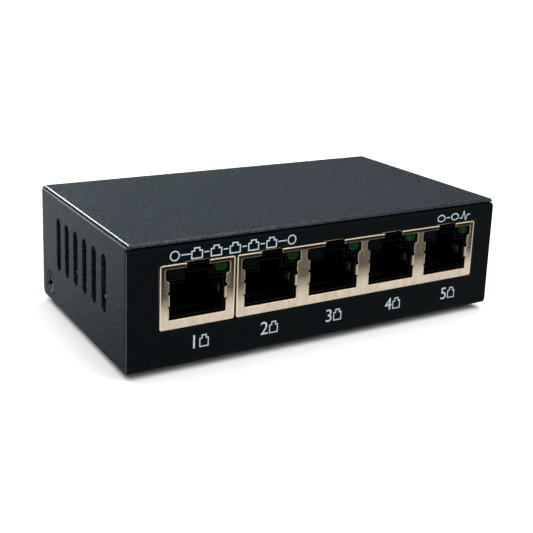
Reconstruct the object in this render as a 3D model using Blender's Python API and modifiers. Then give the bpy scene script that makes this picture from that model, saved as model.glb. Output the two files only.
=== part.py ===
"""Desktop network switch: a folded sheet-steel case around one circuit board with five shielded sockets.

Metres, +Z up. X runs along the front panel, the sockets face -Y, and Z = 0 is the underside of the feet.
The case is two bent sheets. The base tray is the front, floor and back; the cover is the top and both sides.
Each sub-part is one object. Lengths are written in millimetres times MM.
"""

import math

import bmesh
import bpy
from mathutils import Matrix, Vector

MM = 0.001
GAP = 0.3 * MM
CORNER_GAP = 0.12 * MM

# Case
CASE_W = 93.0 * MM
CASE_D = 51.5 * MM
CASE_H = 26.4 * MM
SHEET = 0.8 * MM
TRAY_BEND_R = 1.3 * MM
COVER_BEND_R = 1.0 * MM
COVER_SETBACK = 0.5 * MM
LIP = 3.4 * MM
FOOT_STEP = 1.3 * MM
FOOT_R = 4.0 * MM
FOOT_INSET = 8.5 * MM

# Side vents and side screws, measured from the front face and from the case's underside
VENT_COUNT = 6
VENT_FIRST_Y = 12.1 * MM
VENT_PITCH = 5.56 * MM
VENT_W = 2.8 * MM
VENT_LOW = 9.0 * MM
VENT_HIGH = 21.4 * MM
SIDE_SCREW_Y = 46.2 * MM
SIDE_SCREW_Z = 4.3 * MM
SIDE_SCREW_HEAD_R = 2.9 * MM
SIDE_SCREW_SHANK_R = 1.25 * MM
SIDE_SCREW_LENGTH = 6.4 * MM

# Circuit board
BOARD_T = 1.6 * MM
BOARD_LOW = 6.2 * MM
BOARD_MARGIN_X = 2.3 * MM
BOARD_MARGIN_Y = 1.6 * MM
STANDOFF_AF_R = 2.7 * MM
BOARD_SCREW_R = 1.2 * MM

# Sockets: the 8-contact face, measured from the socket's centre line and the shield's underside
PORT_PITCH = 15.75 * MM
SHIELD_H = 13.35 * MM
SHIELD_D = 16.5 * MM
SHIELD_T = 0.3 * MM
SHIELD_CORNER_R = 0.45 * MM
SHIELD_LOW = 8.15 * MM
SINGLE_W = 16.5 * MM
SINGLE_X = -31.4 * MM
BLOCK_W = 63.5 * MM
BLOCK_X = 9.1 * MM
BLOCK_PORTS = 4
FACE_HALF_W = 6.3 * MM
FACE_LOW = 1.87 * MM
CAVITY_HALF_W = 5.9 * MM
CAVITY_LOW = 2.35 * MM
CAVITY_HIGH = 9.2 * MM
LATCH_HALF_W = 2.8 * MM
LATCH_HIGH = 11.2 * MM
CAVITY_D = 12.6 * MM
LAMP_NEAR = 3.15 * MM
LAMP_FAR = 6.6 * MM
LAMP_LOW = 10.0 * MM
LAMP_HIGH = 12.4 * MM
LAMP_SHIFT = 0.6 * MM
LAMP_D = 6.0 * MM

# Sprung contacts: eight wires on one root bar, which turns at the socket's front lip
CONTACT_COUNT = 8
CONTACT_PITCH = 1.016 * MM
CONTACT_W = 0.4 * MM
CONTACT_T = 0.3 * MM
CONTACT_ROOT_Y = 4.9 * MM
CONTACT_ROOT_Z = 1.75 * MM
CONTACT_ROOT_R = 0.35 * MM
CONTACT_LENGTH = 8.4 * MM
CONTACT_RISE = math.radians(26.0)

# Power inlet
INLET_X = 29.0 * MM
INLET_W = 9.0 * MM
INLET_D = 14.0 * MM
INLET_H = 11.0 * MM
INLET_BORE_R = 3.2 * MM
INLET_PIN_R = 1.0 * MM
INLET_BORE_D = 10.0 * MM

# Places derived from the above
HALF_W = CASE_W / 2
FRONT = -CASE_D / 2
BACK = CASE_D / 2
FLOOR = FOOT_STEP
TOP = FOOT_STEP + CASE_H
BOARD_TOP = FLOOR + BOARD_LOW + BOARD_T
SHIELD_BASE = FLOOR + SHIELD_LOW
PANEL_TOP = TOP - SHEET - GAP
SIDE_INSET = SHEET + GAP
SCREW_DEPTH = SIDE_SCREW_HEAD_R - SIDE_SCREW_SHANK_R
PORT_CENTRES = [SINGLE_X] + [BLOCK_X + (i - (BLOCK_PORTS - 1) / 2) * PORT_PITCH for i in range(BLOCK_PORTS)]


# ---------------------------------------------------------------- scene and helpers


def clear_scene():
    for item in list(bpy.data.objects):
        bpy.data.objects.remove(item, do_unlink=True)


def new_collection(name):
    collection = bpy.data.collections.new(name)
    bpy.context.scene.collection.children.link(collection)
    return collection


clear_scene()
PARTS = new_collection("network_switch")
CUTTERS = new_collection("cutters")


def make_material(name, colour, roughness, metallic=0.0):
    material = bpy.data.materials.new(name)
    material.use_nodes = True
    shader = material.node_tree.nodes["Principled BSDF"]
    shader.inputs["Base Color"].default_value = (*colour, 1.0)
    shader.inputs["Roughness"].default_value = roughness
    shader.inputs["Metallic"].default_value = metallic
    return material


CASE_BLACK = make_material("case_powder_coat", (0.035, 0.040, 0.044), 0.55)
NICKEL = make_material("shield_nickel", (0.62, 0.56, 0.46), 0.32, 1.0)
SOCKET_BLACK = make_material("socket_plastic", (0.012, 0.012, 0.013), 0.45)
GOLD = make_material("contact_gold", (0.83, 0.62, 0.30), 0.28, 1.0)
LAMP_GREEN = make_material("lamp_green", (0.03, 0.16, 0.03), 0.25)
LAMP_CLEAR = make_material("lamp_clear", (0.10, 0.11, 0.13), 0.30)
SCREW_STEEL = make_material("screw_zinc", (0.30, 0.31, 0.32), 0.35, 1.0)
RUBBER = make_material("foot_rubber", (0.02, 0.02, 0.02), 0.85)
BOARD_GREEN = make_material("board_laminate", (0.02, 0.12, 0.05), 0.45)
BRASS = make_material("standoff_brass", (0.70, 0.55, 0.28), 0.35, 1.0)
CHIP_BLACK = make_material("chip_epoxy", (0.03, 0.03, 0.032), 0.55)
CAN_SILVER = make_material("can_aluminium", (0.72, 0.73, 0.74), 0.30, 1.0)
FERRITE = make_material("ferrite_grey", (0.12, 0.12, 0.13), 0.60)


def finish_part(item, name, material, smooth=True):
    """Names an object, puts it with the parts and gives it its material."""
    item.name = name
    item.data.name = name
    for owner in list(item.users_collection):
        owner.objects.unlink(item)
    PARTS.objects.link(item)
    item.data.materials.clear()
    item.data.materials.append(material)
    if smooth:
        item.data.shade_smooth()
        item.data.set_sharp_from_angle(angle=math.radians(35))
    return item


def as_tool(item, name):
    """Puts an object with the cutters, out of the render."""
    item.name = name
    for owner in list(item.users_collection):
        owner.objects.unlink(item)
    CUTTERS.objects.link(item)
    item.hide_render = True
    item.display_type = "WIRE"
    return item


def object_from_bmesh(bm, centre):
    mesh = bpy.data.meshes.new("mesh")
    bm.to_mesh(mesh)
    bm.free()
    item = bpy.data.objects.new("item", mesh)
    item.location = centre
    return item


def make_box(low, high):
    """A box between two corners, its origin at its centre."""
    low, high = Vector(low), Vector(high)
    bm = bmesh.new()
    bmesh.ops.create_cube(bm, size=1.0, matrix=Matrix.Diagonal((*(high - low), 1.0)))
    return object_from_bmesh(bm, (low + high) / 2)


def make_cone(radius_low, radius_high, length, centre, axis="Z", segments=24):
    """A cylinder or frustum along an axis; radius_high is at the axis's positive end."""
    bm = bmesh.new()
    quarter = math.pi / 2
    turn = {"X": Matrix.Rotation(quarter, 4, "Y"), "Y": Matrix.Rotation(-quarter, 4, "X"), "Z": Matrix()}
    bmesh.ops.create_cone(
        bm,
        cap_ends=True,
        segments=segments,
        radius1=radius_low,
        radius2=radius_high,
        depth=length,
        matrix=turn[axis],
    )
    return object_from_bmesh(bm, centre)


def make_turned(profile, location, rotation=(0.0, 0.0, 0.0), segments=24):
    """A solid of revolution about its own Z; the profile runs down its outer side, from axis to axis."""
    mesh = bpy.data.meshes.new("turned")
    bm = bmesh.new()
    points = [bm.verts.new((radius, 0.0, height)) for radius, height in profile]
    for start, end in zip(points, points[1:]):
        bm.edges.new((start, end))
    bm.to_mesh(mesh)
    bm.free()
    item = bpy.data.objects.new("turned", mesh)
    item.location = location
    item.rotation_euler = rotation
    screw = item.modifiers.new("turn", "SCREW")
    screw.steps = segments
    screw.render_steps = segments
    screw.use_merge_vertices = True
    screw.merge_threshold = 0.00001
    return item


def make_prism(outline, low, high, axis):
    """A flat outline, filled and given thickness between low and high along an axis.

    Along "Y" the outline's points are (x, z); along "X" they are (y, z).
    """
    curve = bpy.data.curves.new("outline", "CURVE")
    curve.dimensions = "2D"
    curve.fill_mode = "BOTH"
    curve.extrude = (high - low) / 2
    spline = curve.splines.new("POLY")
    spline.points.add(len(outline) - 1)
    for point, (across, up) in zip(spline.points, outline):
        point.co = (across, up, 0.0, 1.0)
    spline.use_cyclic_u = True
    drawn = bpy.data.objects.new("outline", curve)
    middle = (low + high) / 2
    if axis == "Y":
        drawn.location = (0.0, middle, 0.0)
        drawn.rotation_euler = (math.pi / 2, 0.0, 0.0)
    else:
        drawn.location = (middle, 0.0, 0.0)
        drawn.rotation_euler = (math.pi / 2, 0.0, math.pi / 2)
    PARTS.objects.link(drawn)
    bpy.context.view_layer.update()
    seen = drawn.evaluated_get(bpy.context.evaluated_depsgraph_get())
    mesh = bpy.data.meshes.new_from_object(seen)
    bm = bmesh.new()
    bm.from_mesh(mesh)
    bmesh.ops.remove_doubles(bm, verts=bm.verts, dist=0.000001)
    bm.to_mesh(mesh)
    bm.free()
    solid = bpy.data.objects.new("prism", mesh)
    solid.matrix_world = drawn.matrix_world
    bpy.data.objects.remove(drawn)
    return solid


def arc(centre_a, centre_b, radius, start, end, steps):
    """Points on a round stretch of an outline, angles in degrees."""
    turns = [math.radians(start + (end - start) * i / steps) for i in range(steps + 1)]
    return [(centre_a + radius * math.cos(t), centre_b + radius * math.sin(t)) for t in turns]


def make_bent_sheet(profile, axis, low, high, thickness):
    """A folded sheet: an open profile drawn out along an axis, then thickened towards its left-hand side."""
    bm = bmesh.new()
    place = (lambda a, b: (low, a, b)) if axis == "X" else (lambda a, b: (a, low, b))
    points = [bm.verts.new(place(a, b)) for a, b in profile]
    edges = [bm.edges.new(pair) for pair in zip(points, points[1:])]
    drawn = bmesh.ops.extrude_edge_only(bm, edges=edges)["geom"]
    moved = [item for item in drawn if isinstance(item, bmesh.types.BMVert)]
    along = Vector((high - low, 0, 0)) if axis == "X" else Vector((0, high - low, 0))
    bmesh.ops.translate(bm, verts=moved, vec=along)
    bmesh.ops.recalc_face_normals(bm, faces=bm.faces)
    item = object_from_bmesh(bm, (0.0, 0.0, 0.0))
    solid = item.modifiers.new("thickness", "SOLIDIFY")
    solid.thickness = abs(thickness)
    solid.offset = math.copysign(1.0, thickness)
    solid.use_even_offset = True
    return item


def boolean(item, tool, operation, name):
    as_tool(tool, f"{name}_{len(CUTTERS.objects):03d}")
    modifier = item.modifiers.new(name, "BOOLEAN")
    modifier.operation = operation
    modifier.solver = "EXACT"
    modifier.object = tool


def cut(item, tool, name="cut"):
    boolean(item, tool, "DIFFERENCE", name)


def join(item, tool, name="join"):
    boolean(item, tool, "UNION", name)


def bevel(item, width, segments=2):
    modifier = item.modifiers.new("edges", "BEVEL")
    modifier.width = width
    modifier.segments = segments
    modifier.limit_method = "ANGLE"
    modifier.angle_limit = math.radians(40)


# ---------------------------------------------------------------- case


def side_screw_place(side):
    return (side * HALF_W, FRONT + SIDE_SCREW_Y, FLOOR + SIDE_SCREW_Z)


def side_screw_space(side, grow):
    """The countersunk screw's own space, a little larger and running past the case, to cut its holes with."""
    over = 0.6 * MM
    narrow = SIDE_SCREW_SHANK_R + grow
    wide = SIDE_SCREW_HEAD_R + grow + over
    end = -2 * SIDE_SCREW_LENGTH
    profile = [(0, over), (wide, over), (narrow, -SCREW_DEPTH), (narrow, end), (0, end)]
    return make_turned(profile, side_screw_place(side), (0.0, side * math.pi / 2, 0.0), 28)


def build_base_tray():
    """Front panel, floor and back panel, bent from one sheet, with an ear at each side for the cover's screw.

    Only the front panel is as wide as the case. The rest fits between the cover's sides.
    """
    low, top, lip = TRAY_BEND_R, COVER_BEND_R, PANEL_TOP - COVER_BEND_R
    front_lip = arc(FRONT + top, lip, top, 90, 180, 4)
    front_bend = arc(FRONT + low, FLOOR + low, low, 180, 270, 5)
    back_bend = arc(BACK - low, FLOOR + low, low, 270, 360, 5)
    back_lip = arc(BACK - top, lip, top, 0, 90, 4)
    ends = (FRONT + LIP, PANEL_TOP), (BACK - LIP, PANEL_TOP)
    profile = [ends[0], *front_lip, *front_bend, *back_bend, *back_lip, ends[1]]
    tray = make_bent_sheet(profile, "X", -HALF_W, HALF_W, -SHEET)
    finish_part(tray, "base_tray", CASE_BLACK)

    for side in (-1, 1):
        inner, outer = sorted((side * (HALF_W - SIDE_INSET), side * (HALF_W + 1 * MM)))
        strip_low = (inner, FRONT + SHEET - 0.05 * MM, FLOOR - 1 * MM)
        strip = make_box(strip_low, (outer, BACK + 1 * MM, TOP + 1 * MM))
        cut(tray, strip, "side_strip")
        inner, outer = sorted((side * (HALF_W - COVER_BEND_R - GAP), side * (HALF_W + 1 * MM)))
        corner_low = (inner, FRONT - 1 * MM, TOP - COVER_BEND_R - CORNER_GAP)
        corner = make_box(corner_low, (outer, FRONT + 2 * MM, TOP + 1 * MM))
        cut(tray, corner, "corner_relief")

    ear_y = FRONT + SIDE_SCREW_Y
    for side in (-1, 1):
        near, far = sorted((side * (HALF_W - SIDE_INSET), side * (HALF_W - SIDE_INSET - 1.2 * MM)))
        ear_low = (near, ear_y - 3.6 * MM, FLOOR + 0.3 * MM)
        ear = make_box(ear_low, (far, ear_y + 3.0 * MM, FLOOR + 8.6 * MM))
        join(tray, ear, "ear")
        cut(tray, side_screw_space(side, GAP), "side_screw_hole")

    window = make_box(
        (SINGLE_X - SINGLE_W / 2 - GAP, FRONT - 1 * MM, SHIELD_BASE - GAP),
        (BLOCK_X + BLOCK_W / 2 + GAP, FRONT + 2 * SHEET, SHIELD_BASE + SHIELD_H + GAP),
    )
    cut(tray, window, "socket_window")
    inlet = make_box(
        (INLET_X - INLET_W / 2 - GAP, BACK - 2 * SHEET, BOARD_TOP + GAP / 2),
        (INLET_X + INLET_W / 2 + GAP, BACK + 1 * MM, BOARD_TOP + 2 * GAP + INLET_H),
    )
    cut(tray, inlet, "inlet_window")
    return tray


def build_top_cover():
    """Top and both sides, bent from one sheet. Its sides stop behind the front panel and reach the back."""
    radius = COVER_BEND_R
    low = FLOOR + 0.2 * MM
    right_bend = arc(HALF_W - radius, TOP - radius, radius, 0, 90, 6)
    left_bend = arc(-HALF_W + radius, TOP - radius, radius, 90, 180, 6)
    profile = [(HALF_W, low), *right_bend, *left_bend, (-HALF_W, low)]
    cover = make_bent_sheet(profile, "Y", FRONT + COVER_SETBACK, BACK, -SHEET)
    finish_part(cover, "top_cover", CASE_BLACK)

    for side in (-1, 1):
        inner, outer = sorted((side * (HALF_W - SHEET - 1 * MM), side * (HALF_W + 1 * MM)))
        setback_high = (outer, FRONT + SIDE_INSET, TOP - radius)
        setback = make_box((inner, FRONT - 1 * MM, FLOOR - 1 * MM), setback_high)
        cut(cover, setback, "side_setback")
        cut(cover, side_screw_space(side, GAP / 2), "side_screw_hole")

    round_off = 1.6 * MM
    rounding = arc(BACK - round_off, low + round_off, round_off, 0, -90, 4)
    below, behind = FLOOR - 1 * MM, BACK + 1 * MM
    outside = [(BACK - round_off, below), (behind, below), (behind, low + round_off)]
    cut(cover, make_prism(outside + rounding, -HALF_W - 1 * MM, HALF_W + 1 * MM, "X"), "lower_corner")

    for i in range(VENT_COUNT):
        y = FRONT + VENT_FIRST_Y + i * VENT_PITCH
        radius = VENT_W / 2
        upper = arc(y, FLOOR + VENT_HIGH - radius, radius, 0, 180, 6)
        lower = arc(y, FLOOR + VENT_LOW + radius, radius, 180, 360, 6)
        slot = make_prism(upper + lower, -HALF_W - 1 * MM, HALF_W + 1 * MM, "X")
        cut(cover, slot, "vent")
    return cover


def cut_cross_recess(item, centre, axis_turn, width, span, depth):
    """A cross recess in a screw head, its bars turned a little from upright."""
    for turn in (math.radians(18), math.radians(108)):
        bar = make_box((-span / 2, -width / 2, -depth), (span / 2, width / 2, depth))
        bar.matrix_world = Matrix.Translation(centre) @ axis_turn @ Matrix.Rotation(turn, 4, "Z")
        cut(item, bar, "cross_recess")


def build_side_screws():
    """Countersunk screws that hold the cover to the tray's ears."""
    shank, head = SIDE_SCREW_SHANK_R, SIDE_SCREW_HEAD_R
    tip = SIDE_SCREW_LENGTH
    point = [(shank, -tip + 0.4 * MM), (shank - 0.4 * MM, -tip), (0, -tip)]
    profile = [(0, 0), (head, 0), (shank, -SCREW_DEPTH), *point]
    for side, name in ((-1, "case_screw_left"), (1, "case_screw_right")):
        place = side_screw_place(side)
        screw = make_turned(profile, place, (0.0, side * math.pi / 2, 0.0), 28)
        finish_part(screw, name, SCREW_STEEL)
        turn = Matrix.Rotation(side * math.pi / 2, 4, "Y")
        cut_cross_recess(screw, Vector(place), turn, 0.8 * MM, 3.4 * MM, 1.1 * MM)


def build_feet():
    """Four stuck-on rubber feet."""
    height = FOOT_STEP - GAP
    radius, round_off = FOOT_R, 0.4 * MM
    edge = arc(radius - round_off, round_off, round_off, 0, -90, 3)
    profile = [(0, height), (radius, height), *edge, (0, 0)]
    for end, y in (("front", FRONT + FOOT_INSET), ("back", BACK - FOOT_INSET)):
        for side, x in (("left", -HALF_W + FOOT_INSET), ("right", HALF_W - FOOT_INSET)):
            foot = make_turned(profile, (x, y, 0.0), segments=24)
            finish_part(foot, f"foot_{end}_{side}", RUBBER)


# ---------------------------------------------------------------- circuit board


STANDOFF_PLACES = [
    ("front_left", -41.2 * MM, FRONT + 20.5 * MM),
    ("front_right", 41.6 * MM, FRONT + 20.5 * MM),
    ("back_left", -41.2 * MM, BACK - 14.0 * MM),
    ("back_right", 41.6 * MM, BACK - 14.0 * MM),
]


def leg_places():
    """Where the sockets' shield legs stand in the board: x and y."""
    y = FRONT + 9.5 * MM
    single = [SINGLE_X + side * (SINGLE_W - SHIELD_T) / 2 for side in (-1, 1)]
    block = [BLOCK_X + side * (BLOCK_W - SHIELD_T) / 2 for side in (-1, 1)]
    return [(x, y) for x in single + block]


def build_board():
    board = make_box(
        (-HALF_W + BOARD_MARGIN_X, FRONT + BOARD_MARGIN_Y, FLOOR + BOARD_LOW),
        (HALF_W - BOARD_MARGIN_X, BACK - BOARD_MARGIN_Y, BOARD_TOP),
    )
    finish_part(board, "main_board", BOARD_GREEN, smooth=False)
    for _, x, y in STANDOFF_PLACES:
        radius = BOARD_SCREW_R + GAP
        hole = make_cone(radius, radius, 4 * MM, (x, y, FLOOR + BOARD_LOW), segments=16)
        cut(board, hole, "mounting_hole")
    for x, y in leg_places():
        slot_high = (x + 0.5 * MM, y + 1.3 * MM, BOARD_TOP + 1 * MM)
        slot = make_box((x - 0.5 * MM, y - 1.3 * MM, FLOOR), slot_high)
        cut(board, slot, "leg_slot")
    ear_y = FRONT + SIDE_SCREW_Y
    for side in (-1, 1):
        near, far = sorted((side * (HALF_W - 9.0 * MM), side * HALF_W))
        notch = make_box((near, ear_y - 4.4 * MM, FLOOR), (far, BACK, BOARD_TOP + 1 * MM))
        cut(board, notch, "ear_notch")


def build_board_fixings():
    """A hexagonal standoff and a pan-head screw at each mounting hole."""
    low = FLOOR + SHEET + GAP
    high = FLOOR + BOARD_LOW - GAP
    head_low = BOARD_TOP + GAP
    head_high = head_low + 1.5 * MM
    shank = BOARD_SCREW_R
    tip = FLOOR + SHEET + 1.2 * MM
    crown = arc(1.4 * MM, head_low + 0.5 * MM, 1.0 * MM, 90, 0, 3)
    profile = [(0, head_high), *crown, (2.4 * MM, head_low), (shank, head_low), (shank, tip), (0, tip)]
    for place, x, y in STANDOFF_PLACES:
        post = make_cone(STANDOFF_AF_R, STANDOFF_AF_R, high - low, (x, y, (low + high) / 2), segments=6)
        finish_part(post, f"standoff_{place}", BRASS, smooth=False)
        bore = make_cone(shank + GAP, shank + GAP, 20 * MM, (x, y, low), segments=16)
        cut(post, bore, "bore")
        screw = make_turned(profile, (x, y, 0.0), segments=20)
        finish_part(screw, f"board_screw_{place}", SCREW_STEEL)
        cut_cross_recess(screw, Vector((x, y, head_high)), Matrix(), 0.6 * MM, 2.6 * MM, 0.8 * MM)


# ---------------------------------------------------------------- sockets


def face_outline(centre):
    """The opening in a shield's front: plug mouth, relief notches by the side tabs, lamp level, top gap."""
    half = FACE_HALF_W
    lamp_half = half + 0.8 * MM
    right = [
        (half, FACE_LOW),
        (half, 4.25 * MM),
        (half + 0.3 * MM, 4.75 * MM),
        (half, 5.15 * MM),
        (half, 7.1 * MM),
        (half + 0.45 * MM, 7.5 * MM),
        (half, 7.95 * MM),
        (half, 9.85 * MM),
        (lamp_half, 10.3 * MM),
        *arc(lamp_half - 0.5 * MM, 11.95 * MM, 0.5 * MM, 0, 90, 3),
        (2.5 * MM, 12.45 * MM),
        (2.5 * MM, SHIELD_H + 1 * MM),
    ]
    left = [(-across, up) for across, up in reversed(right)]
    return [(centre + across, SHIELD_BASE + up) for across, up in right + left]


def build_shield(name, centre, width, ports):
    """Bent sheet around a socket body: front, top, sides and back, open underneath, with two legs."""
    low, high = centre - width / 2, centre + width / 2
    back = FRONT + SHIELD_D
    top = SHIELD_BASE + SHIELD_H
    edge = SHIELD_CORNER_R
    outline = [
        *arc(high - edge, SHIELD_BASE + edge, edge, -90, 0, 3),
        *arc(high - edge, top - edge, edge, 0, 90, 3),
        *arc(low + edge, top - edge, edge, 90, 180, 3),
        *arc(low + edge, SHIELD_BASE + edge, edge, 180, 270, 3),
    ]
    shield = make_prism(outline, FRONT, back, "Y")
    finish_part(shield, name, NICKEL, smooth=False)
    hollow = make_box(
        (low + SHIELD_T, FRONT + SHIELD_T, SHIELD_BASE - 1 * MM),
        (high - SHIELD_T, back - SHIELD_T, top - SHIELD_T),
    )
    cut(shield, hollow, "hollow")
    for port in ports:
        mouth = make_prism(face_outline(port), FRONT - 1 * MM, FRONT + SHIELD_T + 0.15 * MM, "Y")
        cut(shield, mouth, "mouth")
        notch_low = (port - 2.5 * MM, FRONT - 1 * MM, top - 1 * MM)
        notch = make_box(notch_low, (port + 2.5 * MM, FRONT + 1.2 * MM, top + 1 * MM))
        cut(shield, notch, "top_notch")
        for side in (-1, 1):
            near, far = sorted((port + side * FACE_HALF_W, port + side * (FACE_HALF_W + SHIELD_T)))
            tab = make_box(
                (near, FRONT + 0.02 * MM, SHIELD_BASE + 5.25 * MM),
                (far, FRONT + 1.2 * MM, SHIELD_BASE + 7.0 * MM),
            )
            join(shield, tab, "side_tab")
    stops = [low - 2.0 * MM, *ports, high + 2.0 * MM]
    for start, end in zip(stops, stops[1:]):
        groove = make_box(
            (start + 2.9 * MM, FRONT - 1 * MM, top - 0.57 * MM),
            (end - 2.9 * MM, FRONT + 0.2 * MM, top - 0.24 * MM),
        )
        cut(shield, groove, "fold_line")
    for x, y in leg_places():
        if low < x < high:
            leg = make_box(
                (x - SHIELD_T / 2, y - 1 * MM, FLOOR + BOARD_LOW - 0.6 * MM),
                (x + SHIELD_T / 2, y + 1 * MM, SHIELD_BASE + 1 * MM),
            )
            join(shield, leg, "leg")


def cut_socket(body, port):
    """One socket's hollows in its moulded body: plug cavity, latch way, contact well and two lamp holes."""
    base = SHIELD_BASE
    tee = [
        (port - CAVITY_HALF_W, base + CAVITY_LOW),
        (port + CAVITY_HALF_W, base + CAVITY_LOW),
        (port + CAVITY_HALF_W, base + CAVITY_HIGH),
        (port + LATCH_HALF_W, base + CAVITY_HIGH),
        (port + LATCH_HALF_W, base + LATCH_HIGH),
        (port - LATCH_HALF_W, base + LATCH_HIGH),
        (port - LATCH_HALF_W, base + CAVITY_HIGH),
        (port - CAVITY_HALF_W, base + CAVITY_HIGH),
    ]
    cut(body, make_prism(tee, FRONT - 1 * MM, FRONT + CAVITY_D, "Y"), "plug_cavity")
    well = make_box(
        (port - 4.5 * MM, FRONT + 4.1 * MM, base + 0.9 * MM),
        (port + 4.5 * MM, FRONT + SHIELD_D, base + 8.6 * MM),
    )
    cut(body, well, "contact_well")
    for start, end in ((-LAMP_FAR, -LAMP_NEAR), (LAMP_NEAR + LAMP_SHIFT, LAMP_FAR + LAMP_SHIFT)):
        hole = make_box(
            (port + start, FRONT - 1 * MM, base + LAMP_LOW),
            (port + end, FRONT + LAMP_D + 1 * MM, base + LAMP_HIGH),
        )
        cut(body, hole, "lamp_hole")
    for side in (-1, 1):
        reach = FACE_HALF_W + SHIELD_T + GAP
        near, far = sorted((port + side * (CAVITY_HALF_W - 1 * MM), port + side * reach))
        pocket_high = (far, FRONT + 2.1 * MM, base + 7.35 * MM)
        pocket = make_box((near, FRONT - 1 * MM, base + 4.9 * MM), pocket_high)
        cut(body, pocket, "tab_pocket")


def build_socket_body(name, centre, width, ports):
    """The black moulded body inside a shield."""
    side = SHIELD_T + GAP
    body = make_box(
        (centre - width / 2 + side, FRONT + side, SHIELD_BASE + GAP),
        (centre + width / 2 - side, FRONT + SHIELD_D - side, SHIELD_BASE + SHIELD_H - side),
    )
    finish_part(body, name, SOCKET_BLACK, smooth=False)
    for port in ports:
        cut_socket(body, port)


def build_insert(number, port):
    """The moulded block at a socket's back, with a slot for each contact's free end."""
    low = (port - 4.2 * MM, FRONT + CAVITY_D + 0.4 * MM, SHIELD_BASE + 1.2 * MM)
    high = (port + 4.2 * MM, FRONT + SHIELD_D - 0.7 * MM, SHIELD_BASE + 8.3 * MM)
    insert = make_box(low, high)
    finish_part(insert, f"port{number}_insert", SOCKET_BLACK, smooth=False)
    for i in range(CONTACT_COUNT):
        x = port + (i - (CONTACT_COUNT - 1) / 2) * CONTACT_PITCH
        slot_low = (x - 0.3 * MM, low[1] - 1 * MM, low[2] - 1 * MM)
        slot = make_box(slot_low, (x + 0.3 * MM, low[1] + 0.5 * MM, high[2] - 1 * MM))
        cut(insert, slot, "comb_slot")


def build_contacts(number, port):
    """Eight sprung wires on their root bar; the object's origin is on the bar's axis, where they flex."""
    root = (port, FRONT + CONTACT_ROOT_Y, SHIELD_BASE + CONTACT_ROOT_Z)
    span = (CONTACT_COUNT - 1) * CONTACT_PITCH + CONTACT_W + 0.4 * MM
    bar = make_cone(CONTACT_ROOT_R, CONTACT_ROOT_R, span, root, "X", 12)
    finish_part(bar, f"port{number}_contacts", GOLD)
    slope = Matrix.Rotation(CONTACT_RISE, 4, "X")
    for i in range(CONTACT_COUNT):
        across = (i - (CONTACT_COUNT - 1) / 2) * CONTACT_PITCH
        wire = make_box((-CONTACT_W / 2, 0.0, 0.0), (CONTACT_W / 2, CONTACT_LENGTH, CONTACT_T))
        middle = Vector((0.0, CONTACT_LENGTH / 2, CONTACT_T / 2))
        start = Matrix.Translation(Vector(root) + Vector((across, 0, 0)))
        wire.matrix_world = start @ slope @ Matrix.Translation(middle)
        join(bar, wire, "wire")


def build_lamps(number, port):
    """Two indicator lamps above a socket: a flat one at the left and a round-bottomed one at the right."""
    base = SHIELD_BASE
    front = FRONT + 0.65 * MM
    back = FRONT + LAMP_D
    left = make_box(
        (port - LAMP_FAR + GAP, front, base + LAMP_LOW + GAP),
        (port - LAMP_NEAR - GAP, back, base + LAMP_HIGH - GAP),
    )
    finish_part(left, f"port{number}_lamp_left", LAMP_CLEAR, smooth=False)
    middle = port + (LAMP_NEAR + LAMP_FAR) / 2 + LAMP_SHIFT
    radius = 1.35 * MM
    level = base + LAMP_LOW + 1.3 * MM
    round_part = [(middle + a, level + b * 0.72) for a, b in arc(0, 0, radius, 180, 360, 10)]
    top = base + LAMP_HIGH - GAP
    outline = [*round_part, (middle + radius, top), (middle - radius, top)]
    right = make_prism(outline, front, back, "Y")
    finish_part(right, f"port{number}_lamp_right", LAMP_GREEN)


# ---------------------------------------------------------------- on the board


def build_transformers():
    """One isolating transformer behind each socket."""
    for number, port in enumerate(PORT_CENTRES, 1):
        y = FRONT + SHIELD_D + 1.8 * MM
        low = BOARD_TOP + GAP
        block = make_box((port - 6.2 * MM, y, low), (port + 6.2 * MM, y + 8.6 * MM, low + 4.6 * MM))
        finish_part(block, f"port{number}_transformer", CHIP_BLACK, smooth=False)
        bevel(block, 0.3 * MM, 1)


def build_chips():
    """Switch controller, start-up memory, voltage regulator and crystal."""
    low = BOARD_TOP + GAP
    y = FRONT + SHIELD_D + 12.6 * MM
    controller = make_box((-13 * MM, y, low), (1 * MM, y + 14 * MM, low + 1.4 * MM))
    finish_part(controller, "switch_controller", CHIP_BLACK, smooth=False)
    bevel(controller, 0.25 * MM, 1)
    sink = make_box((-12 * MM, y + 1 * MM, low + 1.7 * MM), (0, y + 13 * MM, low + 6.7 * MM))
    finish_part(sink, "controller_heat_sink", CAN_SILVER, smooth=False)
    for i in range(4):
        x = -10.4 * MM + i * 2.4 * MM
        gap = make_box((x, y, low + 3.0 * MM), (x + 1.2 * MM, y + 14 * MM, low + 8 * MM))
        cut(sink, gap, "fin_gap")
    memory = make_box((4 * MM, y + 7 * MM, low), (9.2 * MM, y + 12 * MM, low + 1.5 * MM))
    finish_part(memory, "settings_memory", CHIP_BLACK, smooth=False)
    bevel(memory, 0.2 * MM, 1)
    regulator = make_box((13 * MM, y + 7 * MM, low), (19.5 * MM, y + 12.6 * MM, low + 1.7 * MM))
    finish_part(regulator, "voltage_regulator", CHIP_BLACK, smooth=False)
    bevel(regulator, 0.2 * MM, 1)
    half, radius = 3.2 * MM, 1.9 * MM
    crystal_x, crystal_y = -32 * MM, y + 5 * MM
    can = make_box(
        (crystal_x - half - radius, crystal_y - radius, low),
        (crystal_x + half + radius, crystal_y + radius, low + 3.4 * MM),
    )
    finish_part(can, "crystal_can", CAN_SILVER)
    bevel(can, 0.9 * MM, 2)


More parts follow.
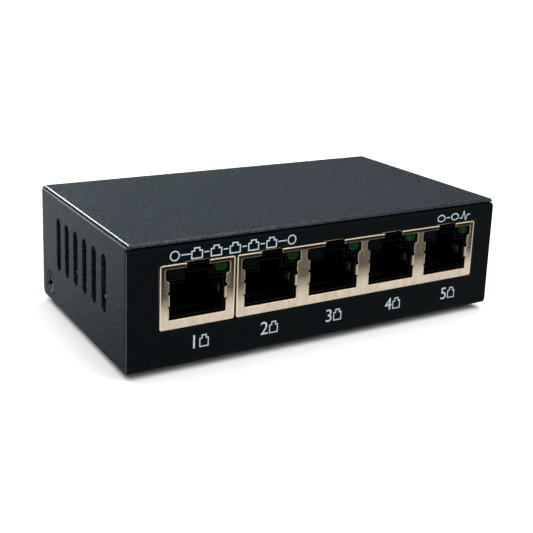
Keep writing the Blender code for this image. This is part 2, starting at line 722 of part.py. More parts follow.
def build_power_parts():
    """Inductor and two smoothing capacitors beside the power inlet."""
    low = BOARD_TOP + GAP
    y = FRONT + SHIELD_D + 12.8 * MM
    choke = make_box((4.2 * MM, y, low), (10.2 * MM, y + 6 * MM, low + 3.6 * MM))
    finish_part(choke, "power_inductor", FERRITE)
    bevel(choke, 0.8 * MM, 2)
    height, radius = 8.0 * MM, 3.0 * MM
    profile = [
        (0, height),
        (radius - 0.4 * MM, height),
        (radius, height - 0.4 * MM),
        (radius, 2.0 * MM),
        (radius - 0.35 * MM, 1.6 * MM),
        (radius, 1.2 * MM),
        (radius, 0.0),
        (0, 0),
    ]
    for number, x in enumerate((14.5 * MM, 21.2 * MM), 1):
        can = make_turned(profile, (x, y + 3 * MM, low), segments=24)
        finish_part(can, f"capacitor_{number}", CAN_SILVER)


def build_power_inlet():
    """Barrel inlet at the back: moulded body, centre pin and a sprung side contact."""
    base = BOARD_TOP + GAP
    centre_z = base + INLET_H - 4.6 * MM
    body_high = (INLET_X + INLET_W / 2, BACK, base + INLET_H)
    body = make_box((INLET_X - INLET_W / 2, BACK - INLET_D, base), body_high)
    finish_part(body, "inlet_body", SOCKET_BLACK, smooth=False)
    bore = make_cone(INLET_BORE_R, INLET_BORE_R, INLET_BORE_D * 2, (INLET_X, BACK, centre_z), "Y", 28)
    cut(body, bore, "barrel_bore")
    pin_hole_r = INLET_PIN_R + GAP
    pin_hole = make_cone(pin_hole_r, pin_hole_r, INLET_D * 3, (INLET_X, BACK, centre_z), "Y", 16)
    cut(body, pin_hole, "pin_hole")
    way = make_box(
        (INLET_X - 2.0 * MM, BACK - INLET_D + 1.5 * MM, base - 1 * MM),
        (INLET_X + 2.0 * MM, BACK - 1.6 * MM, centre_z - INLET_BORE_R + 1 * MM),
    )
    cut(body, way, "spring_way")

    tip = 0.5 * MM
    pin_length = INLET_D - 1.2 * MM
    nose = arc(INLET_PIN_R - tip, -tip, tip, 90, 0, 3)
    profile = [(0, 0), *nose, (INLET_PIN_R, -pin_length), (0, -pin_length)]
    pin = make_turned(profile, (INLET_X, BACK - 0.6 * MM, centre_z), (-math.pi / 2, 0.0, 0.0), 16)
    finish_part(pin, "inlet_pin", SCREW_STEEL)

    root_y = BACK - INLET_D + 2.6 * MM
    root_z = base + 1.6 * MM
    leaf = make_cone(0.5 * MM, 0.5 * MM, 3.0 * MM, (INLET_X, root_y, root_z), "X", 12)
    finish_part(leaf, "inlet_spring_contact", GOLD)
    rise = math.radians(14.0)
    blade = make_box((-1.4 * MM, -4.4 * MM, -0.15 * MM), (1.4 * MM, 4.4 * MM, 0.15 * MM))
    start = Matrix.Translation((INLET_X, root_y, root_z)) @ Matrix.Rotation(rise, 4, "X")
    blade.matrix_world = start @ Matrix.Translation((0, 4.4 * MM, 0))
    join(leaf, blade, "blade")


# ---------------------------------------------------------------- assembly


def build():
    build_base_tray()
    build_top_cover()
    build_side_screws()
    build_feet()
    build_board()
    build_board_fixings()
    block_ports = PORT_CENTRES[1:]
    build_shield("port1_shield", SINGLE_X, SINGLE_W, [SINGLE_X])
    build_socket_body("port1_body", SINGLE_X, SINGLE_W, [SINGLE_X])
    build_shield("ports2to5_shield", BLOCK_X, BLOCK_W, block_ports)
    build_socket_body("ports2to5_body", BLOCK_X, BLOCK_W, block_ports)
    for number, port in enumerate(PORT_CENTRES, 1):
        build_insert(number, port)
        build_contacts(number, port)
        build_lamps(number, port)
    build_transformers()
    build_chips()
    build_power_parts()
    build_power_inlet()


build()
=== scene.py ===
import math

import bmesh
import bpy
from mathutils import Matrix, Vector


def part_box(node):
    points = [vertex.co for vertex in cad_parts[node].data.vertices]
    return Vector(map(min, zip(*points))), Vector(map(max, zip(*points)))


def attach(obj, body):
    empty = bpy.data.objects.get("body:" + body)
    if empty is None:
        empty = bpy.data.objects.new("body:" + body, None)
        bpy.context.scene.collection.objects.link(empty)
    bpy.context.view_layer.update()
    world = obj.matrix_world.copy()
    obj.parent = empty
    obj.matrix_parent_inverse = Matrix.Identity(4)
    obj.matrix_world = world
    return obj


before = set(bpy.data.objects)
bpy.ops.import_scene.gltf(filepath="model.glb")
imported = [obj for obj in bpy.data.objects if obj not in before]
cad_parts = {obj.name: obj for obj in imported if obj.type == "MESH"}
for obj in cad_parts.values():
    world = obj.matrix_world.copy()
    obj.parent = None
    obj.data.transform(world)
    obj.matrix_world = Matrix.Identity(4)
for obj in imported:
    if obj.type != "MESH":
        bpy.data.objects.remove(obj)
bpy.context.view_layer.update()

MM = 0.001


# ---------------------------------------------------------------- measures, taken from the frame

tray_low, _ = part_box("base_tray")
_, cover_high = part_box("top_cover")
FRONT = tray_low.y
FLOOR_PLATE, TOP = tray_low.z, cover_high.z
single_low, single_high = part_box("port1_shield")
block_low, block_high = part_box("ports2to5_shield")
SHIELD_TOP = single_high.z
SHIELD_BASE = SHIELD_TOP - 13.35 * MM
SHEET = 0.8 * MM
WIRE_PITCH = 1.016 * MM
PORT_NUMBERS = range(1, 6)
PORTS = []
for number in PORT_NUMBERS:
    low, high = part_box(f"port{number}_contacts")
    PORTS.append((low.x + high.x) / 2)


# ---------------------------------------------------------------- node helpers


class Wiring:
    """Short ways to add nodes to a node tree and to wire them."""

    def __init__(self, tree, coordinates):
        self.tree = tree
        self.coords = tree.nodes.new("ShaderNodeTexCoord").outputs[coordinates]

    def node(self, kind, **values):
        item = self.tree.nodes.new("ShaderNode" + kind)
        for key, value in values.items():
            if hasattr(item, key):
                setattr(item, key, value)
            else:
                self.feed(item.inputs[key.replace("_", " ")], value)
        return item

    def feed(self, socket, value):
        if isinstance(value, bpy.types.NodeSocket):
            self.tree.links.new(value, socket)
        elif isinstance(value, tuple) and len(value) == 3 and socket.type == "RGBA":
            socket.default_value = (*value, 1.0)
        else:
            socket.default_value = value

    def noise(self, size_mm, detail=3.0, rough=0.55, stretch=None):
        where = self.coords
        if stretch:
            where = self.node("Mapping", Vector=self.coords, Scale=stretch).outputs[0]
        item = self.node("TexNoise", Vector=where, Scale=1 / (size_mm * MM), Detail=detail, Roughness=rough)
        return item.outputs[0]

    def cells(self, size_mm, feature="F1"):
        item = self.node("TexVoronoi", feature=feature, Vector=self.coords, Scale=1 / (size_mm * MM))
        return item.outputs["Distance"]

    def span(self, value, low, high, out_low=0.0, out_high=1.0):
        item = self.node("MapRange")
        for socket, number in zip(item.inputs, (value, low, high, out_low, out_high)):
            self.feed(socket, number)
        return item.outputs[0]

    def calc(self, operation, a, b=0.5):
        item = self.node("Math", operation=operation)
        self.feed(item.inputs[0], a)
        self.feed(item.inputs[1], b)
        return item.outputs[0]

    def product(self, *factors):
        result = factors[0]
        for factor in factors[1:]:
            result = self.calc("MULTIPLY", result, factor)
        return result

    def blend(self, a, b, factor):
        """The number a where factor is 0 and b where it is 1."""
        part_a = self.calc("MULTIPLY", a, self.calc("SUBTRACT", 1.0, factor))
        return self.calc("ADD", part_a, self.calc("MULTIPLY", b, factor))

    def mix(self, factor, a, b):
        item = self.node("Mix", data_type="RGBA")
        self.feed(item.inputs["Factor"], factor)
        self.feed(item.inputs[6], a)
        self.feed(item.inputs[7], b)
        return item.outputs[2]

    def along(self, axis):
        """How far a point lies along one axis."""
        return self.node("SeparateXYZ", Vector=self.coords).outputs[axis]


class Shader(Wiring):
    """One Principled material."""

    def __init__(self, name, **values):
        self.mat = bpy.data.materials.new(name)
        self.mat.use_nodes = True
        super().__init__(self.mat.node_tree, "Object")
        self.bsdf = self.tree.nodes["Principled BSDF"]
        for key, value in values.items():
            self.bsdf.inputs[key.replace("_", " ")].default_value = value

    def geometry(self, output):
        return self.node("NewGeometry").outputs[output]

    def facing(self, axis):
        """1 on flat faces that look down the axis, and 0 elsewhere."""
        share = self.node("SeparateXYZ", Vector=self.geometry("True Normal")).outputs[axis]
        return self.span(share, -0.7, -0.95)

    def edge(self, radius_mm, low=0.03, high=0.25):
        """1 along sharp edges and 0 elsewhere, and the rounded normal."""
        soft = self.node("Bevel", samples=6, Radius=radius_mm * MM).outputs[0]
        flat = self.geometry("Normal")
        dot = self.node("VectorMath", operation="DOT_PRODUCT")
        self.feed(dot.inputs[0], soft)
        self.feed(dot.inputs[1], flat)
        bend = self.calc("SUBTRACT", 1.0, dot.outputs["Value"])
        return self.span(bend, low, high), soft

    def bump(self, value, depth_mm, strength=1.0, normal=None):
        item = self.node("Bump", Strength=strength, Distance=depth_mm * MM, Height=value)
        if normal is not None:
            self.feed(item.inputs["Normal"], normal)
        return item.outputs[0]

    def set(self, **links):
        for key, value in links.items():
            self.feed(self.bsdf.inputs[key.replace("_", " ")], value)
        return self.mat


def powder_coat(name, deep, pale, roughness, specular, edge_highlight_colour, cut_edge_highlight_colour=None, panel_edge_highlight_colour=None):
    """Fine-textured black powder coat: speckle, orange-peel bump, smoother bends and painted highlights
    along sharp edges.
    """
    s = Shader(name, Specular_IOR_Level=specular)
    grain = s.noise(0.75, 3.0, 0.7)
    patch = s.noise(9.0, 2.0)
    tone = s.mix(s.span(grain, 0.38, 0.64), deep, pale)
    tone = s.mix(s.span(patch, 0.3, 0.7, 0.0, 0.35), tone, tuple(c * 1.5 for c in deep))
    highlight_edge, soft = s.edge(0.22)
    # Painted highlight along sharp edges, broken up by the grain.
    tone = s.mix(s.product(highlight_edge, s.span(grain, 0.35, 0.6, 0.28, 0.7)), tone, edge_highlight_colour)
    y = s.along("Y")
    # Painted highlight on the cover's front cut edge, brightest at the left and fading to the right.
    if cut_edge_highlight_colour:
        cut_edge_highlight = s.product(
            s.facing("Y"),
            s.span(y, FRONT + SHEET + 0.1 * MM, FRONT + SHEET - 0.1 * MM),
            s.span(s.along("Z"), TOP - 0.55 * MM, TOP - 0.30 * MM),
            s.span(grain, 0.40, 0.60, 0.35, 1.0),
            s.span(s.along("X"), -30 * MM, 18 * MM, 1.0, 0.0),
        )
        tone = s.mix(cut_edge_highlight, tone, cut_edge_highlight_colour)
    # Painted highlight on the front panel's left edge face.
    if panel_edge_highlight_colour:
        fold_highlight_and_shade = s.product(
            s.facing("X"),
            s.span(y, FRONT + 0.55 * MM, FRONT + 0.45 * MM),
            s.span(y, FRONT + 0.05 * MM, FRONT + 0.12 * MM),
        )
        tone = s.mix(fold_highlight_and_shade, tone, panel_edge_highlight_colour)
    rough = s.span(grain, 0.3, 0.7, roughness - 0.05, roughness + 0.08)
    east, _, up = s.node("SeparateXYZ", Vector=s.geometry("Normal")).outputs
    smooth = s.span(s.product(s.calc("ABSOLUTE", east), up), 0.05, 0.25)
    rough = s.blend(rough, 0.16, smooth)
    depth = s.calc("SUBTRACT", 1.0, s.calc("MULTIPLY", smooth, 0.9))
    return s.set(Base_Color=tone, Roughness=rough, Normal=s.bump(grain, 0.14, depth, soft))


def plastic(name, colour, roughness, specular=0.4, edge_highlight_colour=None):
    """Moulded plastic: faint mottle, fine bump and painted highlights along rounded edges."""
    s = Shader(name, Specular_IOR_Level=specular)
    grain = s.noise(0.25, 3.0)
    highlight_edge, soft = s.edge(0.20, 0.03, 0.2)
    # Painted highlight along rounded edges: the given colour, or the body colour made paler.
    pale = edge_highlight_colour or tuple(c * 2.2 for c in colour)
    tone = s.mix(s.span(grain, 0.35, 0.7), colour, tuple(c * 1.4 for c in colour))
    tone = s.mix(s.calc("MULTIPLY", highlight_edge, 0.8), tone, pale)
    rough = s.span(grain, 0.3, 0.7, roughness - 0.05, roughness + 0.10)
    return s.set(Base_Color=tone, Roughness=rough, Normal=s.bump(grain, 0.015, 0.4, soft))


def metal(name, colour, roughness, dark, lines=None):
    """Plated or turned metal: fine brushing, tarnish patches and painted highlights along rounded edges."""
    s = Shader(name, Metallic=1.0)
    grain = s.noise(0.12, 3.0, 0.6, lines)
    patch = s.noise(1.8, 3.0)
    highlight_edge, soft = s.edge(0.10)
    tone = s.mix(s.span(patch, 0.3, 0.75), colour, dark)
    tone = s.mix(s.calc("MULTIPLY", s.span(grain, 0.35, 0.7), 0.35), tone, dark)
    # Painted highlight along rounded edges.
    tone = s.mix(s.calc("MULTIPLY", highlight_edge, 0.7), tone, tuple(min(1.0, c * 1.35) for c in colour))
    rough = s.span(grain, 0.3, 0.7, roughness - 0.08, roughness + 0.10)
    return s.set(Base_Color=tone, Roughness=rough, Normal=s.bump(grain, 0.012, 0.35, soft))


def screw_head():
    """Black zinc screw head: a painted highlight where it faces the front and the floor, and a painted shade
    ring at its rim.
    """
    s = Shader("black_zinc_screw", Metallic=1.0)
    low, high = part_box("case_screw_left")
    grain = s.noise(0.12, 3.0, 0.6)
    off_y = s.calc("SUBTRACT", s.along("Y"), (low.y + high.y) / 2)
    off_z = s.calc("SUBTRACT", s.along("Z"), (low.z + high.z) / 2)
    away = s.calc("POWER", s.calc("ADD", s.product(off_y, off_y), s.product(off_z, off_z)), 0.5)
    radius = (high.z - low.z) / 2
    # Painted highlight on the side of the head that faces the front and the floor.
    painted_highlight = s.calc("ADD", s.calc("MULTIPLY", off_y, -0.75), s.calc("MULTIPLY", off_z, -0.66))
    painted_highlight = s.span(painted_highlight, -0.2 * radius, 0.85 * radius)
    tone = s.mix(s.span(grain, 0.3, 0.7), (0.020, 0.024, 0.028), (0.050, 0.056, 0.064))
    tone = s.mix(painted_highlight, tone, (0.30, 0.34, 0.38))
    # Painted shade in a dark ring at the rim of the head.
    tone = s.mix(s.span(away, 0.80 * radius, 0.86 * radius), tone, (0.004, 0.005, 0.006))
    rough = s.span(grain, 0.3, 0.7, 0.32, 0.5)
    return s.set(Base_Color=tone, Roughness=rough, Normal=s.bump(grain, 0.012, 0.35))


def shield_metal():
    """Satin nickel-plated brass with a painted reflection, pale low down and dark higher up, painted
    highlights along the pressed edges and left-facing faces, and painted shade in bands near the sides.
    """
    s = Shader("satin_nickel", Metallic=1.0)
    x, z = s.along("X"), s.along("Z")
    insets = []
    for low, high in ((single_low, single_high), (block_low, block_high)):
        off_centre = s.calc("ABSOLUTE", s.calc("SUBTRACT", x, (low.x + high.x) / 2))
        insets.append(s.calc("SUBTRACT", (high.x - low.x) / 2, off_centre))
    inset = s.calc("MINIMUM", s.calc("MAXIMUM", *insets), s.calc("SUBTRACT", SHIELD_TOP, z))
    speckle = s.noise(0.22, 3.0, 0.6)
    patch = s.noise(1.6, 3.0)
    streak = s.noise(0.9, 3.0, 0.6, (1.0, 1.0, 0.12))
    # Painted reflection: pale low down, dark higher up.
    up = s.span(z, SHIELD_BASE + 2.8 * MM, SHIELD_BASE + 6.8 * MM)
    tone = s.mix(up, (0.72, 0.55, 0.415), (0.066, 0.044, 0.026))
    tone = s.mix(s.span(streak, 0.45, 0.75, 0.0, 0.30), tone, (0.24, 0.17, 0.11))
    tone = s.mix(s.span(patch, 0.35, 0.75, 0.0, 0.20), tone, (0.25, 0.18, 0.12))
    tone = s.mix(s.span(speckle, 0.45, 0.75, 0.0, 0.30), tone, (0.86, 0.68, 0.53))
    # Painted highlight along the pressed edges and the outline.
    highlight_edge, soft = s.edge(0.26, 0.02, 0.16)
    highlight_edge = s.calc("MAXIMUM", highlight_edge, s.span(inset, 0.30 * MM, 0.18 * MM))
    tone = s.mix(s.calc("MULTIPLY", highlight_edge, 0.8), tone, (0.92, 0.70, 0.52))
    # Painted shade in a band just inside the sides, higher up.
    fold_highlight_and_shade = s.product(
        s.span(inset, 0.24 * MM, 0.32 * MM),
        s.span(inset, 0.92 * MM, 0.78 * MM),
        s.span(z, SHIELD_TOP - 9.0 * MM, SHIELD_TOP - 2.0 * MM),
    )
    tone = s.mix(fold_highlight_and_shade, tone, (0.024, 0.015, 0.009))
    # Painted highlight on the faces that look to the left.
    tone = s.mix(s.facing("X"), tone, (0.90, 0.72, 0.56))
    rough = s.span(speckle, 0.3, 0.7, 0.34, 0.50)
    return s.set(Base_Color=tone, Roughness=rough, Normal=s.bump(speckle, 0.012, 0.5, soft))


def contact_gold(name, centre=None):
    """Gold-flashed wires, bright at the front bend, with painted shade darkening them further in and away
    from each wire's middle.
    """
    s = Shader(name, Metallic=1.0)
    grain = s.noise(0.10, 3.0)
    # Painted shade: the wires darken further into the socket and away from each wire's middle line.
    wire_shade = s.span(s.along("Y"), FRONT + 4.5 * MM, FRONT + 5.1 * MM)
    if centre is not None:
        pitches = s.calc("MULTIPLY", s.calc("SUBTRACT", s.along("X"), centre), 1.0 / WIRE_PITCH)
        # Ten whole pitches more keep the number positive to the left of the centre.
        share = s.calc("FRACT", s.calc("ADD", pitches, 10.0))
        off_wire = s.calc("ABSOLUTE", s.calc("SUBTRACT", share, 0.5))
        wire_shade = s.calc("MAXIMUM", wire_shade, s.span(off_wire, 0.13, 0.19))
    tone = s.mix(wire_shade, (0.60, 0.41, 0.23), (0.012, 0.009, 0.007))
    tone = s.mix(s.span(grain, 0.4, 0.7, 0.0, 0.15), tone, (0.10, 0.06, 0.03))
    rough = s.span(grain, 0.3, 0.7, 0.38, 0.55)
    return s.set(Base_Color=tone, Roughness=rough, Normal=s.bump(grain, 0.01, 0.3))


def lamp_lens(name, colour, glow, highlight_rim_colour):
    """Tinted lamp lens: a painted highlight on the moulded rim, and moulding waves that mix in a brighter
    painted glow.
    """
    s = Shader(name, Roughness=0.35, Specular_IOR_Level=0.02)
    wave = s.noise(0.7, 2.0)
    highlight_edge, soft = s.edge(0.3)
    # Moulding waves mix in a brighter painted glow, though the lamp gives no light.
    tone = s.mix(s.span(wave, 0.35, 0.7), colour, glow)
    # Painted highlight on the rim.
    tone = s.mix(s.calc("MULTIPLY", highlight_edge, 0.8), tone, highlight_rim_colour)
    return s.set(Base_Color=tone, Normal=s.bump(wave, 0.05, 0.4, soft))


def laminate():
    """Green solder resist over copper tracks, with the glass weave just showing."""
    s = Shader("solder_resist", Specular_IOR_Level=0.5)
    tracks = s.cells(2.6, "DISTANCE_TO_EDGE")
    weave = s.noise(0.5, 2.0)
    tone = s.mix(s.span(tracks, 0.05, 0.09), (0.035, 0.19, 0.07), (0.012, 0.085, 0.035))
    tone = s.mix(s.span(weave, 0.4, 0.7, 0.0, 0.3), tone, (0.03, 0.15, 0.06))
    rough = s.span(weave, 0.3, 0.7, 0.28, 0.42)
    return s.set(Base_Color=tone, Roughness=rough, Normal=s.bump(tracks, 0.03, 0.4))


def rubber():
    """Matt black rubber with a fine mottle."""
    s = Shader("foot_rubber", Specular_IOR_Level=0.25)
    grain = s.noise(0.25, 3.0)
    tone = s.mix(s.span(grain, 0.3, 0.7), (0.012, 0.012, 0.012), (0.030, 0.030, 0.031))
    rough = s.span(grain, 0.3, 0.7, 0.75, 0.92)
    return s.set(Base_Color=tone, Roughness=rough, Normal=s.bump(grain, 0.03, 0.5))


def print_ink():
    """Pale screen-printed ink with slightly uneven coverage."""
    s = Shader("print_ink", Specular_IOR_Level=0.3)
    grain = s.noise(0.16, 3.0)
    tone = s.mix(s.span(grain, 0.35, 0.7), (0.34, 0.41, 0.47), (0.52, 0.61, 0.67))
    rough = s.span(grain, 0.3, 0.7, 0.5, 0.7)
    return s.set(Base_Color=tone, Roughness=rough, Normal=s.bump(grain, 0.01, 0.4))


# Every material under a short name, then the short name for each node: by its full name, or by a part of it.
M = {
    "tray": powder_coat(
        "tray_powder_coat", (0.0013, 0.0022, 0.0026), (0.0024, 0.0038, 0.0046), 0.50, 0.03,
        (0.040, 0.046, 0.052), panel_edge_highlight_colour=(0.085, 0.095, 0.105),
    ),
    "cover": powder_coat(
        "cover_powder_coat", (0.0008, 0.0030, 0.0060), (0.016, 0.026, 0.036), 0.27, 0.26,
        (0.085, 0.095, 0.110), cut_edge_highlight_colour=(0.080, 0.080, 0.075),
    ),
    "shield": shield_metal(),
    "socket": plastic("socket_plastic", (0.0004, 0.0005, 0.0007), 0.5, 0.0, (0.034, 0.041, 0.055)),
    "insert": plastic("insert_plastic", (0.0004, 0.0004, 0.0005), 0.55, 0.0, (0.010, 0.012, 0.015)),
    "inlet": plastic("inlet_plastic", (0.010, 0.010, 0.011), 0.38),
    "contacts": contact_gold("contact_gold"),
    **{f"contacts_{n}": contact_gold(f"contact_gold_{n}", x) for n, x in zip(PORT_NUMBERS, PORTS)},
    "lamp_green": lamp_lens(
        "lamp_green", (0.0013, 0.008, 0.0014), (0.007, 0.044, 0.006), (0.009, 0.036, 0.015)
    ),
    "lamp_clear": lamp_lens(
        "lamp_clear", (0.0006, 0.0008, 0.0012), (0.0012, 0.0016, 0.0024), (0.0040, 0.0050, 0.0070)
    ),
    "screw": screw_head(),
    "steel": metal("zinc_steel", (0.45, 0.46, 0.47), 0.34, (0.22, 0.22, 0.23)),
    "brass": metal("standoff_brass", (0.62, 0.46, 0.22), 0.34, (0.30, 0.20, 0.09)),
    "can": metal("drawn_can", (0.60, 0.61, 0.62), 0.32, (0.36, 0.36, 0.37), (1.0, 1.0, 6.0)),
    "chip": plastic("chip_epoxy", (0.016, 0.016, 0.017), 0.55),
    "ferrite": plastic("ferrite", (0.05, 0.05, 0.053), 0.65, 0.3),
    "board": laminate(),
    "rubber": rubber(),
    "ink": print_ink(),
    "tab": metal("tab_nickel", (0.66, 0.48, 0.35), 0.42, (0.46, 0.33, 0.23)),
    "finger": metal("finger_bronze", (0.26, 0.20, 0.13), 0.45, (0.12, 0.09, 0.06)),
}

BY_NODE = {
    **{f"port{n}_contacts": f"contacts_{n}" for n in PORT_NUMBERS},
    "base_tray": "tray",
    "top_cover": "cover",
    "main_board": "board",
    "controller_heat_sink": "can",
    "crystal_can": "can",
    "power_inductor": "ferrite",
    "inlet_body": "inlet",
    "inlet_pin": "steel",
    "inlet_spring_contact": "contacts",
}
BY_PART = (
    ("_shield", "shield"),
    ("_lamp_left", "lamp_clear"),
    ("_lamp_right", "lamp_green"),
    ("_insert", "insert"),
    ("_body", "socket"),
    ("case_screw", "screw"),
    ("board_screw", "steel"),
    ("standoff", "brass"),
    ("foot_", "rubber"),
    ("capacitor", "can"),
)
for name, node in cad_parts.items():
    key = BY_NODE.get(name) or next((value for part, value in BY_PART if part in name), "chip")
    node.data.materials.clear()
    node.data.materials.append(M[key])


# ---------------------------------------------------------------- prints on the front panel

INK_PROUD = 0.012 * MM
INK_SUNK = 0.03 * MM
DIGIT_H = 3.0 * MM
FONT_DIGIT_SHARE = 0.729

# Strokes are laid out in millimetres: across from the middle of the case and up from the tray's underside.
INK_LINE = 0.24
MARK_FIRST_X, MARK_STEP = -31.0, 16.3
TITLE_FIRST_X, TITLE_STEP, TITLE_Z = -31.8, 4.25, 23.2
LEGEND_Z = 23.15


def finish_piece(name, mesh, material):
    """Links a finished piece, gives it its material and lets it ride on the case."""
    item = bpy.data.objects.new(name, mesh)
    bpy.context.collection.objects.link(item)
    mesh.materials.clear()
    mesh.materials.append(M[material])
    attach(item, "case")


def to_mesh(name, bm):
    """A mesh of the built faces, all looking outwards."""
    bmesh.ops.recalc_face_normals(bm, faces=bm.faces)
    mesh = bpy.data.meshes.new(name)
    bm.to_mesh(mesh)
    bm.free()
    return mesh


def join_rings(bm, start, end):
    """Four side faces between two rings of four points."""
    for k in range(4):
        bm.faces.new((start[k], start[(k + 1) % 4], end[(k + 1) % 4], end[k]))


def ribbon(bm, points, closed):
    """A flat stroke of ink along points (x, z in millimetres), laid on the front panel."""
    path = [Vector(p) for p in points]
    count = len(path)
    sides = []
    for i, here in enumerate(path):
        before = path[i - 1] if closed or i else None
        after = path[(i + 1) % count] if closed or i < count - 1 else None
        a = (here - before).normalized() if before is not None else (after - here).normalized()
        b = (after - here).normalized() if after is not None else a
        normal = Vector((-(a.y + b.y), a.x + b.x)).normalized()
        reach = INK_LINE / 2 / max(0.4, normal.dot(Vector((-a.y, a.x))))
        sides.append((here + normal * reach, here - normal * reach))
    rings = []
    for pair in sides:
        ring = []
        for depth in (FRONT - INK_PROUD, FRONT + INK_SUNK):
            ring += [bm.verts.new((p.x * MM, depth, FLOOR_PLATE + p.y * MM)) for p in pair]
        rings.append((ring[0], ring[1], ring[3], ring[2]))
    for i in range(count if closed else count - 1):
        join_rings(bm, rings[i], rings[(i + 1) % count])
    if not closed:
        bm.faces.new(rings[0])
        bm.faces.new(rings[-1])


def oval(cx, cz, rx, rz, steps=16):
    """An oval as a closed stroke."""
    turns = [2 * math.pi * i / steps for i in range(steps)]
    return [(cx + rx * math.cos(turn), cz + rz * math.sin(turn)) for turn in turns], True


def dash(start, end, cz):
    """A level dash as an open stroke."""
    return [(start, cz), (end, cz)], False


def socket_outline(cx, cz, half, height):
    """A socket's outline with its latch step, as a closed stroke."""
    low, high, step = cz - height / 2, cz + height / 2, cz + height * 0.22
    return [
        (cx - half, low), (cx + half, low), (cx + half, step), (cx + half * 0.5, step),
        (cx + half * 0.5, high), (cx - half * 0.5, high), (cx - half * 0.5, step), (cx - half, step),
    ], True


def print_from_strokes(name, strokes):
    """One print made of several strokes."""
    bm = bmesh.new()
    for points, closed in strokes:
        ribbon(bm, points, closed)
    finish_piece(name, to_mesh(name, bm), "ink")


def print_digit(number, x, z):
    """A port number, as tall as DIGIT_H."""
    text = bpy.data.curves.new(f"digit_{number}", "FONT")
    text.body = str(number)
    text.size = DIGIT_H / FONT_DIGIT_SHARE
    text.align_x = "CENTER"
    text.extrude = (INK_PROUD + INK_SUNK) / 2
    drawn = bpy.data.objects.new("drawn", text)
    bpy.context.collection.objects.link(drawn)
    bpy.context.view_layer.update()
    seen = drawn.evaluated_get(bpy.context.evaluated_depsgraph_get())
    mesh = bpy.data.meshes.new_from_object(seen)
    place = Vector((x, FRONT + (INK_SUNK - INK_PROUD) / 2, z))
    mesh.transform(Matrix.Translation(place) @ Matrix.Rotation(math.pi / 2, 4, "X"))
    bpy.data.objects.remove(drawn)
    finish_piece(f"print_digit_{number}", mesh, "ink")


for number in PORT_NUMBERS:
    x = MARK_FIRST_X + (number - 1) * MARK_STEP
    print_digit(number, (x - 1.1) * MM, FLOOR_PLATE + 3.22 * MM)
    print_from_strokes(f"print_port_mark_{number}", [socket_outline(x + 1.15, 4.55, 0.95, 2.4)])

strokes = [oval(-36.6, TITLE_Z, 0.95, 0.95), dash(-35.3, -33.2, TITLE_Z)]
for i in range(5):
    x = TITLE_FIRST_X + i * TITLE_STEP
    strokes.append(socket_outline(x, TITLE_Z, 1.15, 2.1))
    if i < 4:
        strokes.append(dash(x + 1.6, x + 2.65, TITLE_Z))
strokes += [dash(-13.2, -11.2, TITLE_Z), oval(-9.9, TITLE_Z, 0.95, 0.95)]
print_from_strokes("print_port_row", strokes)

pulse = [(36.2, 22.6), (36.9, 22.6), (37.4, 24.2), (38.0, 22.1), (38.5, 23.3), (39.3, 23.3)]
print_from_strokes("print_lamp_legend", [
    oval(30.6, LEGEND_Z, 1.05, 0.75),
    dash(32.1, 33.2, LEGEND_Z),
    oval(34.7, LEGEND_Z, 1.05, 0.75),
    (pulse, False),
])


# ---------------------------------------------------------------- details inside the sockets

# Profiles of a bent-in tab and of a spring finger of the shield, in millimetres.
TAB_BEND = ((6.27, 0.03), (6.15, 0.07), (6.05, 0.16), (5.99, 0.30), (5.97, 0.60))
FINGER_BEND = ((5.80, 2.4), (5.62, 3.0), (5.42, 3.7), (5.38, 4.3), (5.52, 4.9), (5.78, 5.4))


def strip_piece(name, profile, port, side, low, high, thick, material):
    """A thin bent leaf between two heights; its profile runs (across, depth) from the port's centre."""
    bm = bmesh.new()
    rows = []
    for across, depth in profile:
        row = []
        for z in (low, high):
            for more in (0.0, thick):
                x = port + side * (across + more) * MM
                row.append(bm.verts.new((x, FRONT + depth * MM, SHIELD_BASE + z * MM)))
        rows.append((row[0], row[1], row[3], row[2]))
    for start, end in zip(rows, rows[1:]):
        join_rings(bm, start, end)
    bm.faces.new(rows[0])
    bm.faces.new(rows[-1])
    mesh = to_mesh(name, bm)
    mesh.shade_smooth()
    mesh.set_sharp_from_angle(angle=math.radians(40))
    finish_piece(name, mesh, material)


for number, port in zip(PORT_NUMBERS, PORTS):
    for side, word in ((-1, "left"), (1, "right")):
        strip_piece(f"port{number}_tab_{word}", TAB_BEND, port, side, 4.75, 7.05, 0.14, "tab")
        strip_piece(f"port{number}_finger_{word}", FINGER_BEND, port, side, 5.3, 7.0, 0.12, "finger")


# ---------------------------------------------------------------- camera, lights and floor

camera = bpy.data.objects.new("camera", bpy.data.cameras.new("camera"))
bpy.context.collection.objects.link(camera)
camera.location = (-0.109948, -0.180317, 0.080639)
camera.rotation_euler = (math.radians(76.63936), math.radians(-2.08932), math.radians(-30.62946))
camera.data.lens = 62.594
camera.data.sensor_width = 36.0
camera.data.shift_y = -0.16229
camera.data.clip_start = 0.01
bpy.context.scene.camera = camera
bpy.context.scene.view_settings.view_transform = "Standard"

world = bpy.data.worlds.new("studio")
bpy.context.scene.world = world
world.use_nodes = True

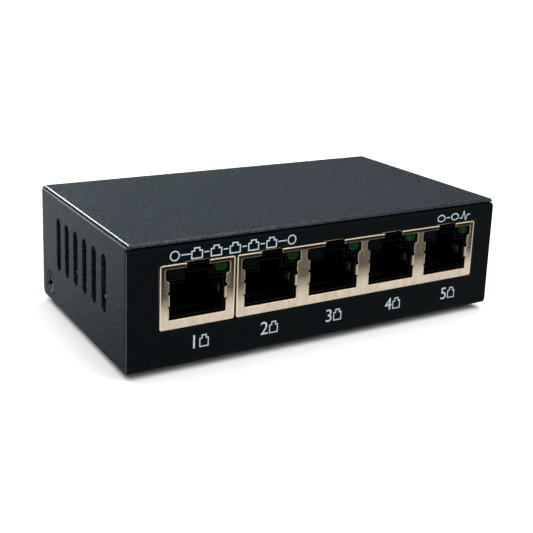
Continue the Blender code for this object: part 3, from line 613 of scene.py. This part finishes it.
# Reflections see a dim room, paler straight behind the object. Below the horizon lie a grey band behind the
# object, dark again lower down, and a bright front. The camera itself sees plain white.
sky = Wiring(world.node_tree, "Generated")
east, north, up = sky.node("SeparateXYZ", Vector=sky.coords).outputs
turned = sky.calc("ADD", sky.calc("MULTIPLY", east, -0.10), sky.calc("MULTIPLY", north, 0.99))
upper = sky.span(turned, 0.60, 1.0, 0.08, 0.33)
lower = sky.blend(sky.span(up, -0.405, -0.345, 0.04, 0.57), 1.3, sky.span(north, 0.1, -0.3))
glow = sky.blend(upper, lower, sky.span(up, 0.0, -0.12))
seen_by_camera = sky.node("LightPath").outputs["Is Camera Ray"]
background = sky.tree.nodes["Background"].inputs
sky.feed(background["Color"], (0.86, 0.97, 1.0))
sky.feed(background["Strength"], sky.calc("MAXIMUM", glow, seen_by_camera))


def area_light(name, place, aim, size, power, colour=(1.0, 1.0, 1.0)):
    """A rectangular light that looks from its place to its aim."""
    lamp = bpy.data.lights.new(name, "AREA")
    lamp.shape = "RECTANGLE"
    lamp.size, lamp.size_y = size
    lamp.energy = power
    lamp.color = colour
    item = bpy.data.objects.new(name, lamp)
    bpy.context.collection.objects.link(item)
    item.location = place
    item.rotation_euler = (Vector(aim) - Vector(place)).to_track_quat("-Z", "Y").to_euler()


area_light("overhead_softbox", (0.1, 0.1, 2.2), (0.1, 0.1, 0.0), (5.0, 5.0), 187.0)
area_light("front_card", (0.42, -0.68, 0.42), (0.0, 0.0, 0.01), (0.35, 0.35), 1.7)

# Two narrow strips draw the lines of light along the cover's left bend.
LEFT_BEND = (-0.0465, 0.0, 0.0264)
COOL = (0.92, 0.97, 1.0)
area_light("edge_strip", (0.0245, 0.905, 0.446), LEFT_BEND, (0.09, 0.22), 1.4, COOL)
area_light("low_strip", (-0.639, 1.267, 0.084), LEFT_BEND, (0.32, 0.08), 0.5, COOL)

bm = bmesh.new()
bmesh.ops.create_grid(bm, x_segments=1, y_segments=1, size=3.0)
mesh = bpy.data.meshes.new("studio_floor")
bm.to_mesh(mesh)
bm.free()
studio_floor = bpy.data.objects.new("studio_floor", mesh)
bpy.context.collection.objects.link(studio_floor)
paper = Shader("floor_paper", Specular_IOR_Level=0.0, Roughness=0.9)
fibre = paper.span(paper.noise(3.0, 3.0), 0.3, 0.7)
mesh.materials.append(paper.set(Base_Color=paper.mix(fibre, (0.93, 0.93, 0.93), (0.95, 0.95, 0.95))))
studio_floor.visible_glossy = False
